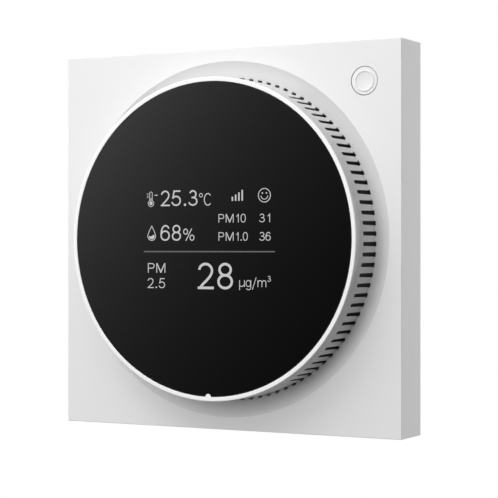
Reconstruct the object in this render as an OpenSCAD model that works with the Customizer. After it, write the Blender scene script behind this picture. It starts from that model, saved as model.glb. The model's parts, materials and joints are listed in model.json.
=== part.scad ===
// Wall-box air quality monitor: a square panel with a dish, a round vented dial that carries the
// display window, a laser particle sensor behind it, and a mains base that goes into the wall box.
//
// Frame: X to the right, Y into the wall, Z up. The wall is the plane Y = 0 and the origin is the
// centre of the panel's back. Each part is drawn lying on its back, where z is the distance in
// front of the wall, x is to the right and y is up the wall. upright() then stands it up.

/* [Panel] */
// Side of the square panel
panel_size = 86; // [85:0.5:87]
// Distance from the wall to the panel's front
panel_depth = 10.5; // [10.3:0.1:10.8]
// Thickness of the panel's four side walls
panel_wall = 2; // [1.8:0.1:2]
// Thickness of the panel's front skin
panel_skin = 2.2; // [2:0.1:2.2]
// Rounding of the panel's outer edges
panel_edge = 0.15; // [0.1:0.05:0.6]
// Radius of the dish's rim
dish_r = 40.2; // [39.8:0.1:40.4]
// Depth of the dish where it meets the dial
dish_depth = 1.7; // [1.5:0.1:1.8]
// How far the dish floor hollows below a straight cone
dish_sag = 0.14; // [0.05:0.01:0.2]

/* [Dial] */
// Outer radius of the dial
dial_r = 36; // [35.8:0.1:36]
// How far the dial stands in front of the panel
dial_height = 8; // [7.8:0.1:8.2]
// Thickness of the dial's side wall
dial_wall = 1; // [0.9:0.1:1.8]
// Width of the bezel ring round the window
bezel_w = 1; // [0.9:0.1:1.1]
// Rounding of the bezel's outer edge
bezel_edge = 0.25; // [0.1:0.05:0.3]
// Radius of the window's locating tab
tab_r = 0.7; // [0.6:0.1:0.8]

/* [Vents] */
// Number of vent slots round the dial
vent_count = 100; // [90:2:100]
// Slot width at the dish
vent_w_base = 1.05; // [0.9:0.05:1.05]
// Slot width at its front end
vent_w_tip = 0.85; // [0.7:0.05:0.85]
// Distance from the bezel's face to the slots' front ends
vent_setback = 3.7; // [3.6:0.1:4]
// Half angle of each side's sector of full slots
vent_sector = 60; // [50:1:65]
// How far a short slot rises above the dish
vent_short = 1; // [0.8:0.1:1.4]
// Depth of the notch that each slot makes in the dish floor
vent_notch = 0.45; // [0.3:0.05:0.5]

/* [Window and display] */
// Thickness of the window
lens_t = 1.5; // [1.4:0.1:1.6]
// Gap round the window
lens_gap = 0.05; // [0.03:0.01:0.08]
// Thickness of the tape under the window
tape_t = 0.3; // [0.2:0.1:0.3]
// Thickness of the display's glass
glass_t = 1.1; // [0.9:0.1:1.1]
// Thickness of the display's backlight
backlight_t = 1.9; // [1.8:0.1:1.9]
// Display outline, up the wall
display_h = 34.6; // [34:0.2:34.6]
// Display outline, to the left of the dial's centre
display_left = 21.2; // [20:0.2:21.2]
// Display outline, to the right of the dial's centre
display_right = 25; // [24:0.2:25]

/* [Button] */
// Button centre, to the right of and above the panel's centre
button_at = [34.3, 34.15];
// Radius of the button cap
button_r = 3.06; // [3:0.02:3.14]
// Gap round the cap
button_gap = 0.14; // [0.1:0.01:0.2]
// Travel of the button
button_travel = 0.4; // [0.2:0.05:0.4]
// Middle radius of the raised ring on the cap
ridge_r = 2.15; // [2.1:0.05:2.3]
// Half width of the raised ring
ridge_w = 0.22; // [0.18:0.01:0.25]
// Height of the raised ring
ridge_h = 0.15; // [0.1:0.05:0.25]

/* [Particle sensor] */
// Sensor case: width, height and thickness
sensor_size = [38, 35, 10];
// Wall of the sensor's case
sensor_wall = 1; // [0.8:0.1:1.2]
// Number of blades on the fan wheel
blade_count = 11; // [7:1:13]
// Radius of the fan wheel
fan_r = 7.9; // [7:0.1:8]
// Radial clearance of the fan wheel on its shaft
fan_fit = 0.04; // [0.02:0.01:0.08]

/* [Base] */
// Thickness of the steel mounting plate
plate_t = 1.2; // [1:0.1:1.2]
// Distance between the two wall-box screws
box_screws = 60.3; // [60:0.1:60.5]
// Width of the slots for the wall-box screws
slot_w = 4.5; // [4.3:0.1:4.8]
// Length of the slots for the wall-box screws
slot_l = 8; // [7:0.5:8]
// Side of the housing that goes into the wall box
housing_size = 49.6; // [49:0.2:49.6]
// How far the housing reaches behind the wall plane
housing_depth = 24; // [23.8:0.1:25]
// Wall of the housing
housing_wall = 1.6; // [1.4:0.1:1.6]
// Rounding of the housing's outer edges
housing_edge = 1.2; // [0.6:0.1:1.4]

/* [Hidden] */
$fn = 96;
eps = 0.01;
big = 100;

// Distances in front of the wall
front_z = panel_depth;
face_z = panel_depth + dial_height;
dish_z = panel_depth - dish_depth;
skin_z = panel_depth - panel_skin;
flange_z = dish_z - 2.4;
flange_t = 1.4;
board_t = 1.6;
board_top = flange_z - flange_t;
board_z = board_top - board_t;
ledge_z = face_z - lens_t - tape_t;
ledge_t = 1.3;
glass_top = ledge_z - 0.1;
carrier_top = glass_top - glass_t - backlight_t;
carrier_t = 1.2;
carrier_z = carrier_top - carrier_t;
pad_t = 0.4;
sensor_top = carrier_z - pad_t;
sensor_z = sensor_top - sensor_size.z;
cover_t = 0.6;
case_top = sensor_top - cover_t;
vent_tip_z = face_z - vent_setback;
vent_low_z = board_top + 0.5;
power_t = 1.6;
power_top = -10.4;
power_z = power_top - power_t;
barrier_t = 1.2;
housing_flange_top = plate_t + 1.2;

// Radii and half widths
panel_half = panel_size / 2;
pocket_half = panel_half - panel_wall;
dial_hole_r = dial_r + 0.02;
dial_in_r = dial_r - dial_wall;
flange_r = dial_r + 2.6;
window_r = dial_r - bezel_w;
ledge_r = window_r - 2.4;
mesh_t = 0.2;
mesh_r = dial_in_r - 0.02;
carrier_r = ledge_r - 0.6;
boss_r = 1.9;
boss_ring_r = 30.2;
button_hole_r = button_r + button_gap;
plate_half = pocket_half - 0.4;
housing_half = housing_size / 2;
cavity_half = housing_half - housing_wall;
board_half = pocket_half - 2;
sensor_half = [sensor_size.x / 2, sensor_size.y / 2];

// Fasteners: shank radius and the clearance of its hole
m2_r = 1;
m16_r = 0.8;
m25_r = 1.25;
hole_fit = 0.04;
board_screws_at = [36.5, 22];
carrier_angles = [50, 130, 230, 310];
power_screws_at = [19.5, 19.5];
housing_screws_at = [18, 27];

// Pins between the front and the base
pin_count = 5;
pin_pitch = 2.54;
pin_r = 0.32;
pin_row_y = -21;
header_half = [6.4, 1.3];

// Particle sensor: the fan's centre, the laser's line and its height
fan_at = [8.5, 0];
well_r = fan_r + 0.7;
laser_x = -8;
laser_z = sensor_z + 5.4;
optics_right = -2.2;

// Mains terminals
pole_x = 3.9;
terminal_half = 8.5;
terminal_y = [-24.5, -13.5];
terminal_back = -housing_depth + 0.3;
cage_z = [terminal_back + 2.5, terminal_back + 8.9];

// ---------------------------------------------------------------- helpers

// Stands a part that is drawn lying on its back up against the wall
module upright() {
    rotate([90, 0, 0]) children();
}

// Box between two opposite corners
module block(low, high) {
    translate(low) cube(high - low);
}

// Box centred on x = y = 0, between two heights
module slab(half, z0, z1) {
    block([-half.x, -half.y, z0], [half.x, half.y, z1]);
}

// Cylinder between two heights
module rod(r, z0, z1) {
    translate([0, 0, z0]) cylinder(r = r, h = z1 - z0);
}

// Ring between two heights
module ring(r_out, r_in, z0, z1) {
    difference() {
        rod(r_out, z0, z1);
        rod(r_in, z0 - eps, z1 + eps);
    }
}

// Repeats its children at the four mirror images of a point
module at_four(p) {
    for (sx = [-1, 1], sy = [-1, 1]) translate([sx * p.x, sy * p.y, 0]) children();
}

// What is cut away to round one long edge that lies along z at the origin and points to +x +y
module edge_cut(r, h) {
    difference() {
        block([-r, -r, -h / 2], [r, r, h / 2]);
        translate([-r, -r, 0]) cylinder(r = r, h = h + 1, center = true);
    }
}

// Square block from z = 0 up, with its upright edges and its top edges rounded
module rounded_slab(half, h, r) {
    difference() {
        slab([half, half], 0, h);
        for (a = [0:90:270]) rotate(a) {
            translate([half, half, h / 2]) edge_cut(r, h + 1);
            translate([half, 0, h]) rotate([90, 0, 0]) edge_cut(r, big);
        }
    }
}

// Pan-head screw, driven along +z, with its head under z = 0
module pan_screw(shank_r, head_r, head_h, length) {
    difference() {
        union() {
            rod(head_r, -head_h, 0);
            rod(shank_r, -eps, length);
        }
        translate([0, 0, -head_h]) cross_recess(head_r * 1.1, head_h);
    }
}

// Cross-shaped driver recess that opens towards -z
module cross_recess(span, depth) {
    for (a = [0, 90])
        rotate(a) translate([-span / 2, -span / 8, -eps]) cube([span, span / 4, depth * 0.55]);
}

// ---------------------------------------------------------------- panel

// Angle of each vent slot, counted from +x
function vent_angle(i) = (i + 0.5) * 360 / vent_count;

// Is this slot in the sector of full slots, to the right or to the left?
function vent_is_full(a) = abs(cos(a)) > cos(vent_sector);

// Height of the dish floor at radius r: a straight cone, hollowed by a parabola
function dish_floor(r) =
    let (t = (r - dial_r) / (dish_r - dial_r))
    dish_z + dish_depth * t - 4 * dish_sag * t * (1 - t);

module dish_cutter() {
    steps = 6;
    rotate_extrude() polygon([
        [0, dish_z],
        for (i = [0:steps]) let (r = dial_r + (dish_r - dial_r) * i / steps) [r, dish_floor(r)],
        [dish_r, front_z + 1],
        [0, front_z + 1]
    ]);
}

// Keeps the skin thick under the dish, down to where the dial's flange sits
module dish_backing() {
    outer_r = dish_r + 1.8;
    rotate_extrude() polygon([
        [dial_hole_r - 1, flange_z], [flange_r, flange_z],
        [outer_r, skin_z], [outer_r, skin_z + 1], [dial_hole_r - 1, skin_z + 1]
    ]);
}

// Snap catch on the inside of the right wall, which holds in the mounting plate's tab
module snap_catch() {
    catch_half = 4.5;
    low = 2.6;
    translate([pocket_half + eps, catch_half, 0]) rotate([90, 0, 0]) linear_extrude(2 * catch_half)
        polygon([[0, low], [-1.8, low + 0.9], [-1.8, low + 1.3], [0, low + 1.6]]);
}

module front_panel() upright() color("whitesmoke") difference() {
    union() {
        difference() {
            rounded_slab(panel_half, front_z, panel_edge);
            slab([pocket_half, pocket_half], -1, skin_z);
        }
        dish_backing();
        at_four(board_screws_at) rod(2.6, flange_z, skin_z + 1);
        for (a = [0, 180]) rotate(a) snap_catch();
    }
    dish_cutter();
    rod(dial_hole_r, -1, front_z + 1);
    for (i = [0:vent_count - 1]) rotate(vent_angle(i))
        block([dial_r - 1, -vent_w_base / 2, 0], [dial_r + vent_notch, vent_w_base / 2, front_z]);
    translate(button_at) rod(button_hole_r, 0, front_z + 1);
    at_four(board_screws_at) rod(m2_r + hole_fit, flange_z - 1, skin_z + 1);
}

// ---------------------------------------------------------------- dial

// Outline of a vent slot: x round the dial, y as the distance in front of the wall
module vent_outline(tip_z) {
    tip_r = vent_w_tip / 2;
    translate([0, tip_z - tip_r]) circle(tip_r, $fn = 24);
    polygon([
        [-vent_w_base / 2, vent_low_z], [vent_w_base / 2, vent_low_z],
        [tip_r, tip_z - tip_r], [-tip_r, tip_z - tip_r]
    ]);
}

module vent_slot(angle) {
    tip_z = vent_is_full(angle) ? vent_tip_z : dish_z + vent_short;
    rotate(angle) translate([dial_in_r - 0.8, 0, 0]) rotate([90, 0, 90])
        linear_extrude(dial_wall + 0.9) vent_outline(tip_z);
}

// Wall, bezel, the ledge that the window sits on, and the flange behind the panel's skin
module dial_profile() {
    edge_steps = 5;
    polygon([
        [dial_in_r, board_top], [flange_r, board_top], [flange_r, flange_z], [dial_r, flange_z],
        for (i = [0:edge_steps]) let (a = 90 * i / edge_steps)
            [dial_r - bezel_edge * (1 - cos(a)), face_z - bezel_edge * (1 - sin(a))],
        [window_r + 0.08, face_z], [window_r, face_z - 0.08],
        [window_r, ledge_z], [ledge_r, ledge_z], [ledge_r, ledge_z - ledge_t],
        [dial_in_r, ledge_z - ledge_t]
    ]);
}

// Ear of the flange that a board screw passes through
module dial_ear(p) {
    a = atan2(p.y, p.x);
    translate([p.x, p.y, 0]) rod(3, board_top, flange_z);
    rotate(a) block([flange_r - 1.5, -2.4, board_top], [norm(p), 2.4, flange_z]);
}

module dial_housing() upright() color("white") difference() {
    union() {
        rotate_extrude($fn = 180) dial_profile();
        for (sx = [-1, 1], sy = [-1, 1])
            dial_ear([sx * board_screws_at.x, sy * board_screws_at.y]);
        for (a = carrier_angles) rotate(a) {
            block([boss_ring_r, -boss_r, ledge_z - ledge_t], [ledge_r + 0.6, boss_r, ledge_z - 0.3]);
            translate([boss_ring_r, 0, 0]) rod(boss_r, carrier_top, ledge_z - 0.3);
        }
        translate([0, -window_r, 0]) rod(tab_r, ledge_z, face_z);
    }
    for (i = [0:vent_count - 1]) vent_slot(vent_angle(i));
    for (a = carrier_angles) rotate(a) translate([boss_ring_r, 0, 0])
        rod(m16_r + hole_fit, carrier_top - 1, ledge_z - 0.6);
    at_four(board_screws_at) rod(m2_r + 0.15, board_top - 1, flange_z + 1);
}

module dust_mesh() upright() color([0.12, 0.12, 0.13])
    ring(mesh_r, mesh_r - mesh_t, board_top + 0.3, ledge_z - ledge_t - 0.1);

// ---------------------------------------------------------------- window and display

module lens() upright() color([0.04, 0.04, 0.045]) difference() {
    r = window_r - lens_gap;
    edge = 0.12;
    back = ledge_z + tape_t;
    rotate_extrude($fn = 180)
        polygon([[0, back], [r, back], [r, face_z - edge], [r - edge, face_z], [0, face_z]]);
    translate([0, -window_r, 0]) rod(tab_r + lens_gap, back - 1, face_z + 1);
}

module lens_adhesive() upright() color([0.1, 0.1, 0.1]) difference() {
    ring(window_r - 0.3, ledge_r + 0.2, ledge_z, ledge_z + tape_t);
    translate([0, -window_r, 0]) rod(tab_r + 0.2, ledge_z - 1, face_z);
}

module display_glass() upright() color([0.09, 0.1, 0.12])
    block(
        [-display_left, -display_h / 2, glass_top - glass_t],
        [display_right, display_h / 2, glass_top]
    );

// Backlight tray with its moulded rim and the diffuser panel let into it
module display_backlight() upright() color([0.88, 0.88, 0.86]) difference() {
    rim = 1.2;
    top = glass_top - glass_t;
    block([-display_left, -display_h / 2, carrier_top], [display_right, display_h / 2, top]);
    block(
        [-display_left + rim, -display_h / 2 + rim, top - 0.4],
        [display_right - 3 * rim, display_h / 2 - rim, top + 1]
    );
}

// Flat flexible cable: out of the glass to the right, round a bend and back to its connector
module display_flex() upright() color([0.72, 0.45, 0.12]) {
    flex_t = 0.2;
    flex_half = 6;
    top = glass_top - glass_t + 0.5;
    low = board_top + 0.7;
    bend = (top - low) / 2;
    start_x = display_right;
    end_x = 24.9;
    bend_x = 25.6;
    translate([0, flex_half, 0]) rotate([90, 0, 0]) linear_extrude(2 * flex_half) {
        translate([start_x, top - flex_t]) square([bend_x - start_x + eps, flex_t]);
        translate([end_x, low]) square([bend_x - end_x + eps, flex_t]);
        translate([bend_x, low + bend]) difference() {
            circle(bend);
            circle(bend - flex_t);
            translate([-big, -big / 2]) square([big, big]);
        }
    }
}

module flex_connector() upright() color([0.9, 0.88, 0.82]) difference() {
    block([21.4, -7.2, board_top], [25, 7.2, board_top + 1.5]);
    block([24.2, -6.2, board_top + 0.6], [26, 6.2, board_top + 1]);
}

// Box round the display's outline, grown by a margin, between two heights
module display_block(margin, z0, z1) {
    block(
        [-display_left - margin, -display_h / 2 - margin, z0],
        [display_right + margin, display_h / 2 + margin, z1]
    );
}

// Plate behind the display, with a fence round it and a gap for the flexible cable
module display_carrier() upright() color([0.2, 0.2, 0.21]) difference() {
    fit = 0.1;
    fence = 0.9;
    fence_top = glass_top - 1;
    union() {
        rod(carrier_r, carrier_z, carrier_top);
        difference() {
            display_block(fit + fence, carrier_top - 0.4, fence_top);
            display_block(fit, carrier_z - 1, fence_top + 1);
        }
    }
    block([display_right - 0.4, -6.6, carrier_z - 1], [big, 6.6, fence_top + 1]);
    for (a = carrier_angles) rotate(a) translate([boss_ring_r, 0, 0])
        rod(m16_r + 0.15, carrier_z - 1, carrier_top + 1);
}

module carrier_screws() upright() color("silver")
    for (a = carrier_angles) rotate(a) translate([boss_ring_r, 0, carrier_z])
        pan_screw(m16_r, 1.5, 1, 3.2);

module sensor_pad() upright() color([0.25, 0.25, 0.26])
    slab([15, 14], sensor_top, carrier_z);

// ---------------------------------------------------------------- particle sensor

// Tray with the fan's round well, a divider, and the air's way in and out
module particle_case() upright() color([0.16, 0.3, 0.5]) {
    floor_z = sensor_z + sensor_wall;
    inner = sensor_half - [sensor_wall, sensor_wall];
    difference() {
        slab(sensor_half, sensor_z, case_top);
        difference() {
            slab(inner, floor_z, case_top + 1);
            translate(fan_at) ring(well_r + 0.8, well_r, floor_z, case_top);
            block([optics_right + 0.6, -big, floor_z], [optics_right + 1.6, big, case_top]);
            for (y = [-14, -9]) block(
                [laser_x - 3.4, y - 0.6, floor_z + 1.4], [optics_right + 1, y + 0.6, laser_z]
            );
        }
        block([optics_right, -4, floor_z + 2], [fan_at.x - 5, 4, case_top - 2]);
        block([fan_at.x + 5, -4.5, floor_z + 1.6], [big, 4.5, case_top - 1.4]);
        for (i = [0:3]) block(
            [-16.6 + 3.2 * i, -big, floor_z + 2.4], [-15 + 3.2 * i, -inner.y + 1, case_top - 1.4]
        );
        translate([laser_x, 0, laser_z]) rotate([90, 0, 0])
            cylinder(r = 2.54, h = 32, center = true);
    }
}

// Sheet lid, with a ring of arc-shaped air slots over the fan
module particle_cover() upright() color("silver") difference() {
    slab(sensor_half, case_top, sensor_top);
    translate(fan_at) difference() {
        ring(well_r - 1.4, 3.6, case_top - 1, sensor_top + 1);
        for (a = [0, 60, 120]) rotate(a) slab([big, 0.8], case_top - 2, sensor_top + 2);
    }
}

module particle_board() upright() color([0.05, 0.35, 0.2]) {
    low = sensor_z + sensor_wall;
    inner = sensor_half - [sensor_wall, sensor_wall];
    block([-inner.x + 0.2, -inner.y + 0.2, low], [optics_right, inner.y - 0.2, low + 1.2]);
}

module fan_motor() upright() color([0.3, 0.3, 0.32]) translate(fan_at) {
    low = sensor_z + sensor_wall;
    rod(4.2, low, low + 1.2);
    rod(0.75, low, case_top - 1.8);
}

// Fan wheel: hub, back plate and swept blades
module fan_rotor() upright() color([0.1, 0.1, 0.1]) translate(fan_at) {
    low = sensor_z + sensor_wall + 1.6;
    top = case_top - 1.6;
    hub_r = 3.4;
    difference() {
        union() {
            rod(hub_r, low, top);
            rod(fan_r - 0.3, low, low + 0.6);
            intersection() {
                rod(fan_r, low, top - 0.3);
                for (i = [0:blade_count - 1]) rotate(i * 360 / blade_count)
                    translate([hub_r - 0.6, 0, low]) rotate(-28) cube([fan_r, 0.6, top - 0.3 - low]);
            }
        }
        rod(0.75 + fan_fit, low - 1, top + 1);
    }
}

module laser_module() upright() color("goldenrod")
    translate([laser_x, -6.6, laser_z]) rotate([90, 0, 0]) difference() {
        cylinder(r = 2.5, h = 9);
        translate([0, 0, -eps]) cylinder(r = 1.1, h = 1.2);
    }

// Absorber that swallows the beam in a deep cone
module light_trap() upright() color([0.08, 0.08, 0.08]) difference() {
    low = sensor_z + sensor_wall + 1.2;
    block([laser_x - 3.6, 9, low], [laser_x + 3.6, sensor_half.y - 1.3, case_top - 0.4]);
    translate([laser_x, 9 - eps, laser_z]) rotate([-90, 0, 0]) cylinder(r1 = 2.3, r2 = 0.3, h = 5.5);
}

module photodetector() upright() color([0.15, 0.12, 0.1]) {
    low = sensor_z + sensor_wall + 1.2;
    translate([laser_x, 0, 0]) {
        slab([1.6, 1.6], low, low + 0.8);
        rod(0.8, low, low + 1);
    }
}

// Plug that joins the sensor's side to the main board
module sensor_connector() upright() color([0.9, 0.88, 0.82]) {
    left = -24.4;
    block([left, -5, board_top], [left + 3.6, 5, board_top + 3]);
    for (i = [-2:2]) block(
        [left + 3.6 - eps, 1.8 * i - 0.3, board_top + 1.2],
        [-sensor_half.x - 0.02, 1.8 * i + 0.3, board_top + 1.8]
    );
}

// ---------------------------------------------------------------- main board

module main_board() upright() color([0.03, 0.3, 0.17]) difference() {
    window = sensor_half + [0.8, 0.8];
    slab([board_half, board_half], board_z, board_top);
    slab(window, board_z - 1, board_top + 1);
    at_four(board_screws_at) rod(m2_r + 0.15, board_z - 1, board_top + 1);
    for (i = [0:pin_count - 1])
        translate([(i - (pin_count - 1) / 2) * pin_pitch, pin_row_y, 0])
            rod(pin_r + 0.12, board_z - 1, board_top + 1);
}

// Small surface-mounted parts in two rows beside the sensor's window
module board_parts() upright() color([0.55, 0.45, 0.33]) {
    for (i = [0:4]) {
        block([12, -28 + 1.6 * i, board_top], [14, -27 + 1.6 * i, board_top + 0.6]);
        block([16, -28 + 1.6 * i, board_top], [17.6, -27.2 + 1.6 * i, board_top + 0.8]);
        block([-30, 8 + 1.8 * i, board_top], [-28, 9 + 1.8 * i, board_top + 0.6]);
        block([28, -16 + 1.8 * i, board_top], [29.6, -15.2 + 1.8 * i, board_top + 0.8]);
    }
}

module board_screws() upright() color("silver")
    at_four(board_screws_at) translate([0, 0, board_z]) pan_screw(m2_r, 1.9, 1.2, 5.4);

module radio_module() upright() color([0.08, 0.1, 0.12]) {
    low_y = 20;
    block([-9, low_y, board_top], [9, 32, board_top + 0.8]);
    // Folded antenna track along the board's outer edge
    for (i = [0:5]) block(
        [-7.5 + 2.5 * i, 29.2, board_top + 0.8 - eps], [-6.9 + 2.5 * i, 31.4, board_top + 0.9]
    );
}

module radio_shield() upright() color("silver") difference() {
    low = board_top + 0.8;
    block([-7.8, 20.6, low], [7.8, 28.6, low + 2.2]);
    block([-7.5, 20.9, low - 1], [7.5, 28.3, low + 1.9]);
}

module processor() upright() color([0.12, 0.12, 0.13]) difference() {
    corner = [-16.5, -28];
    side = 7;
    top = board_top + 0.9;
    block([corner.x, corner.y, board_top], [corner.x + side, corner.y + side, top]);
    translate([corner.x + 1, corner.y + side - 1, 0]) rod(0.4, top - 0.1, top + 1);
}

module climate_board() upright() color([0.05, 0.25, 0.45])
    block([-5, -29.6, board_top], [5, -28.6, board_top + 7.4]);

// Sensor chip with a vented cap, facing the lower slots
module climate_sensor() upright() color([0.85, 0.85, 0.83]) difference() {
    mid_z = board_top + 5;
    block([-1.4, -30.6, mid_z - 1.4], [1.4, -29.6, mid_z + 1.4]);
    translate([0, -30.6 - eps, mid_z]) rotate([-90, 0, 0]) cylinder(r = 0.6, h = 0.5);
}

module pin_places() {
    for (i = [0:pin_count - 1])
        translate([(i - (pin_count - 1) / 2) * pin_pitch, pin_row_y, 0]) children();
}

module board_header() upright() color([0.1, 0.1, 0.1]) {
    low = plate_t - 0.2;
    translate([0, pin_row_y, 0]) slab(header_half, low, board_z);
    pin_places() rod(pin_r, low - 6, board_top + 1.2);
}

module board_socket() upright() color([0.12, 0.12, 0.12]) difference() {
    top = plate_t - 0.3;
    translate([0, pin_row_y, 0]) slab(header_half, power_top, top);
    pin_places() rod(pin_r + 0.08, top - 8, top + 1);
}

// ---------------------------------------------------------------- button

// Cap with a retaining flange behind the skin, a raised ring and a shallow finger dish
module button_cap() upright() color("whitesmoke") translate(button_at) {
    flange_top = skin_z - 0.15;
    edge = 0.12;
    dish = 0.12;
    inner = ridge_r - ridge_w;
    outer = ridge_r + ridge_w;
    bump_steps = 8;
    dish_steps = 4;
    rotate_extrude() polygon([
        [0, flange_top - 0.75], [button_r + 0.8, flange_top - 0.75],
        [button_r + 0.8, flange_top], [button_r, flange_top],
        [button_r, front_z - edge], [button_r - edge, front_z],
        for (i = [0:bump_steps]) let (a = 180 * i / bump_steps)
            [ridge_r + ridge_w * cos(a), front_z + ridge_h * sin(a)],
        for (i = [1:dish_steps]) let (t = i / dish_steps)
            [inner * (1 - t), front_z - dish * (1 - (1 - t) * (1 - t))]
    ]);
}

module switch_body() upright() color([0.1, 0.1, 0.1]) translate(button_at) difference() {
    body_half = 3;
    body_h = 1.8;
    union() {
        slab([body_half, body_half], board_top, board_top + body_h);
        for (sx = [-1, 1], sy = [-1, 1]) translate([sx * (body_half + 0.5), sy * 2.2, 0])
            slab([0.6, 0.35], board_top, board_top + 0.5);
    }
    rod(1.8, board_top + 0.35, board_top + body_h + 1);
}

module switch_plunger() upright() color([0.85, 0.84, 0.8]) translate(button_at)
    rod(1.7, board_top + 0.35 + button_travel + 0.1, skin_z - 0.9);

// ---------------------------------------------------------------- base

// Steel plate with two long slots for the wall-box screws and two upright tabs
module mounting_plate() upright() color("silver") {
    corner_r = 3;
    opening = housing_half + 0.2;
    tab_half = 7;
    difference() {
        union() {
            slab([plate_half, plate_half - corner_r], 0, plate_t);
            slab([plate_half - corner_r, plate_half], 0, plate_t);
            at_four([plate_half - corner_r, plate_half - corner_r]) rod(corner_r, 0, plate_t);
        }
        slab([opening, opening], -1, plate_t + 1);
        for (sx = [-1, 1]) translate([sx * box_screws / 2, 0, 0]) {
            run = (slot_l - slot_w) / 2;
            slab([run, slot_w / 2], -1, plate_t + 1);
            for (end = [-1, 1]) translate([end * run, 0, 0]) rod(slot_w / 2, -1, plate_t + 1);
        }
        at_four(housing_screws_at) rod(m25_r + hole_fit, -1, plate_t + 1);
    }
    for (a = [0, 180]) rotate(a) difference() {
        block([plate_half - plate_t, -tab_half, plate_t - eps], [plate_half, tab_half, 6]);
        block([plate_half - 2, -tab_half + 2, 2.4], [plate_half + 1, tab_half - 2, 4.5]);
    }
}

// Half size of the window that leaves the terminals open, at the back and below
module terminal_window(grow, z0, z1) {
    block(
        [-terminal_half - 0.3 - grow, -big, z0],
        [terminal_half + 0.3 + grow, terminal_y[1] + 0.3 + grow, z1]
    );
}

module rear_housing() upright() color([0.16, 0.16, 0.17]) {
    back = -housing_depth;
    inside = back + housing_wall;
    shroud = 1.2;
    difference() {
        union() {
            translate([0, 0, housing_flange_top]) mirror([0, 0, 1])
                rounded_slab(housing_half, housing_flange_top - back, housing_edge);
            slab([housing_half, housing_screws_at.y + 2.6], plate_t, housing_flange_top);
        }
        difference() {
            slab([cavity_half, cavity_half], inside, housing_flange_top + 1);
            at_four(power_screws_at) rod(2.2, inside, power_z);
            intersection() {
                terminal_window(shroud, inside, power_z - 0.1);
                slab([cavity_half, cavity_half], inside, power_z);
            }
            at_four([cavity_half, cavity_half]) slab([2.4, 2.4], -1.4, 0);
        }
        terminal_window(0, back - 1, power_z + 0.2);
        at_four(power_screws_at) rod(m2_r + hole_fit, power_z - 5, power_z + 1);
        at_four(housing_screws_at) {
            rod(m25_r + 0.1, 0, housing_flange_top + 1);
            translate([0, 0, housing_flange_top - 1])
                cylinder(r1 = m25_r + 0.1, r2 = m25_r + 1.12, h = 1.02);
        }
        // Convection slots in the two side walls
        for (i = [-2:3]) translate([0, 5 * i - 2.5, 0]) slab([big, 0.8], back + 5, power_z + 1);
    }
}

// Insulating cover between the mains side and the low-voltage side
module barrier_cover() upright() color([0.75, 0.74, 0.7]) difference() {
    slab([cavity_half - 0.2, cavity_half - 0.2], 0, barrier_t);
    translate([0, pin_row_y, 0]) slab(header_half + [0.4, 0.4], -1, barrier_t + 1);
    for (i = [-3:3]) translate([4 * i, 10, 0]) slab([0.7, 6], -1, barrier_t + 1);
}

// Countersunk screws that hold the housing to the plate
module housing_screws() upright() color("silver") at_four(housing_screws_at) difference() {
    union() {
        translate([0, 0, housing_flange_top - 1]) cylinder(r1 = m25_r, r2 = m25_r + 1, h = 1);
        rod(m25_r, -2, housing_flange_top - 1 + eps);
    }
    translate([0, 0, housing_flange_top]) mirror([0, 0, 1]) cross_recess(2.8, 1.2);
}

module power_board() upright() color([0.6, 0.5, 0.25]) difference() {
    slab([cavity_half - 0.2, cavity_half - 0.2], power_z, power_top);
    at_four(power_screws_at) rod(m2_r + 0.15, power_z - 1, power_top + 1);
}

module power_screws() upright() color("silver") at_four(power_screws_at)
    translate([0, 0, power_top]) mirror([0, 0, 1]) pan_screw(m2_r, 1.9, 1.2, 5.6);

// Ferrite core: a flat frame with a middle leg
module transformer_core() upright() color([0.22, 0.22, 0.24]) difference() {
    block([-20.5, 0, -8], [-4.5, 13, -3]);
    for (x = [-17.7, -10.9]) block([x, 2.2, -9], [x + 3.6, 10.8, -2]);
}

// Winding on its bobbin, round the middle leg
module transformer_coil() upright() color([0.85, 0.65, 0.1]) difference() {
    block([-17.5, 2.4, power_top], [-7.5, 10.6, -0.9]);
    block([-14.3, 2, -8.1], [-10.7, 11, -2.9]);
}

// Can-type capacitor that stands on the board, with a beaded foot and a domed edge
module can_capacitor(r, h) {
    translate([0, 0, power_top]) rotate_extrude() polygon([
        [0, 0], [r - 0.4, 0], [r, 0.4], [r, 1.2], [r - 0.3, 1.5], [r, 1.8],
        [r, h - 0.5], [r - 0.5, h], [0, h]
    ]);
}

module capacitors() upright() color([0.12, 0.16, 0.3]) {
    translate([7, 12, 0]) can_capacitor(4, 9.6);
    translate([16.6, 11, 0]) can_capacitor(3.15, 8);
}

module fuse() upright() color([0.8, 0.78, 0.7]) translate([0, -7, power_top + 2.1]) {
    length = 10;
    translate([4, 0, 0]) rotate([0, 90, 0]) cylinder(r = 1.8, h = length);
    for (x = [3.4, 4 + length - 2.4]) translate([x, 0, 0]) rotate([0, 90, 0])
        cylinder(r = 2, h = 3);
}

module rectifier() upright() color([0.12, 0.12, 0.12])
    block([-18, -12, power_top], [-10, -6, power_top + 3]);

module varistor() upright() color([0.1, 0.3, 0.6]) translate([16, -15, power_top + 4.6]) {
    rotate([90, 0, 0]) cylinder(r = 4, h = 3.2, center = true);
    for (sx = [-1, 1]) translate([2.5 * sx, 0, 0]) rod(0.35, -4.6, -2);
}

// Two-pole terminal block: wires go in from below, and the screws face back
module terminal_block() upright() color([0.1, 0.35, 0.22]) difference() {
    block(
        [-terminal_half, terminal_y[0], terminal_back], [terminal_half, terminal_y[1], power_z]
    );
    for (sx = [-1, 1]) translate([sx * pole_x, 0, 0]) {
        block([-2.6, terminal_y[0] - 1, cage_z[0] - 0.1], [2.6, -15.9, cage_z[1] + 0.1]);
        translate([0, -19.6, 0]) rod(2.1, terminal_back - 1, cage_z[0]);
    }
}

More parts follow.
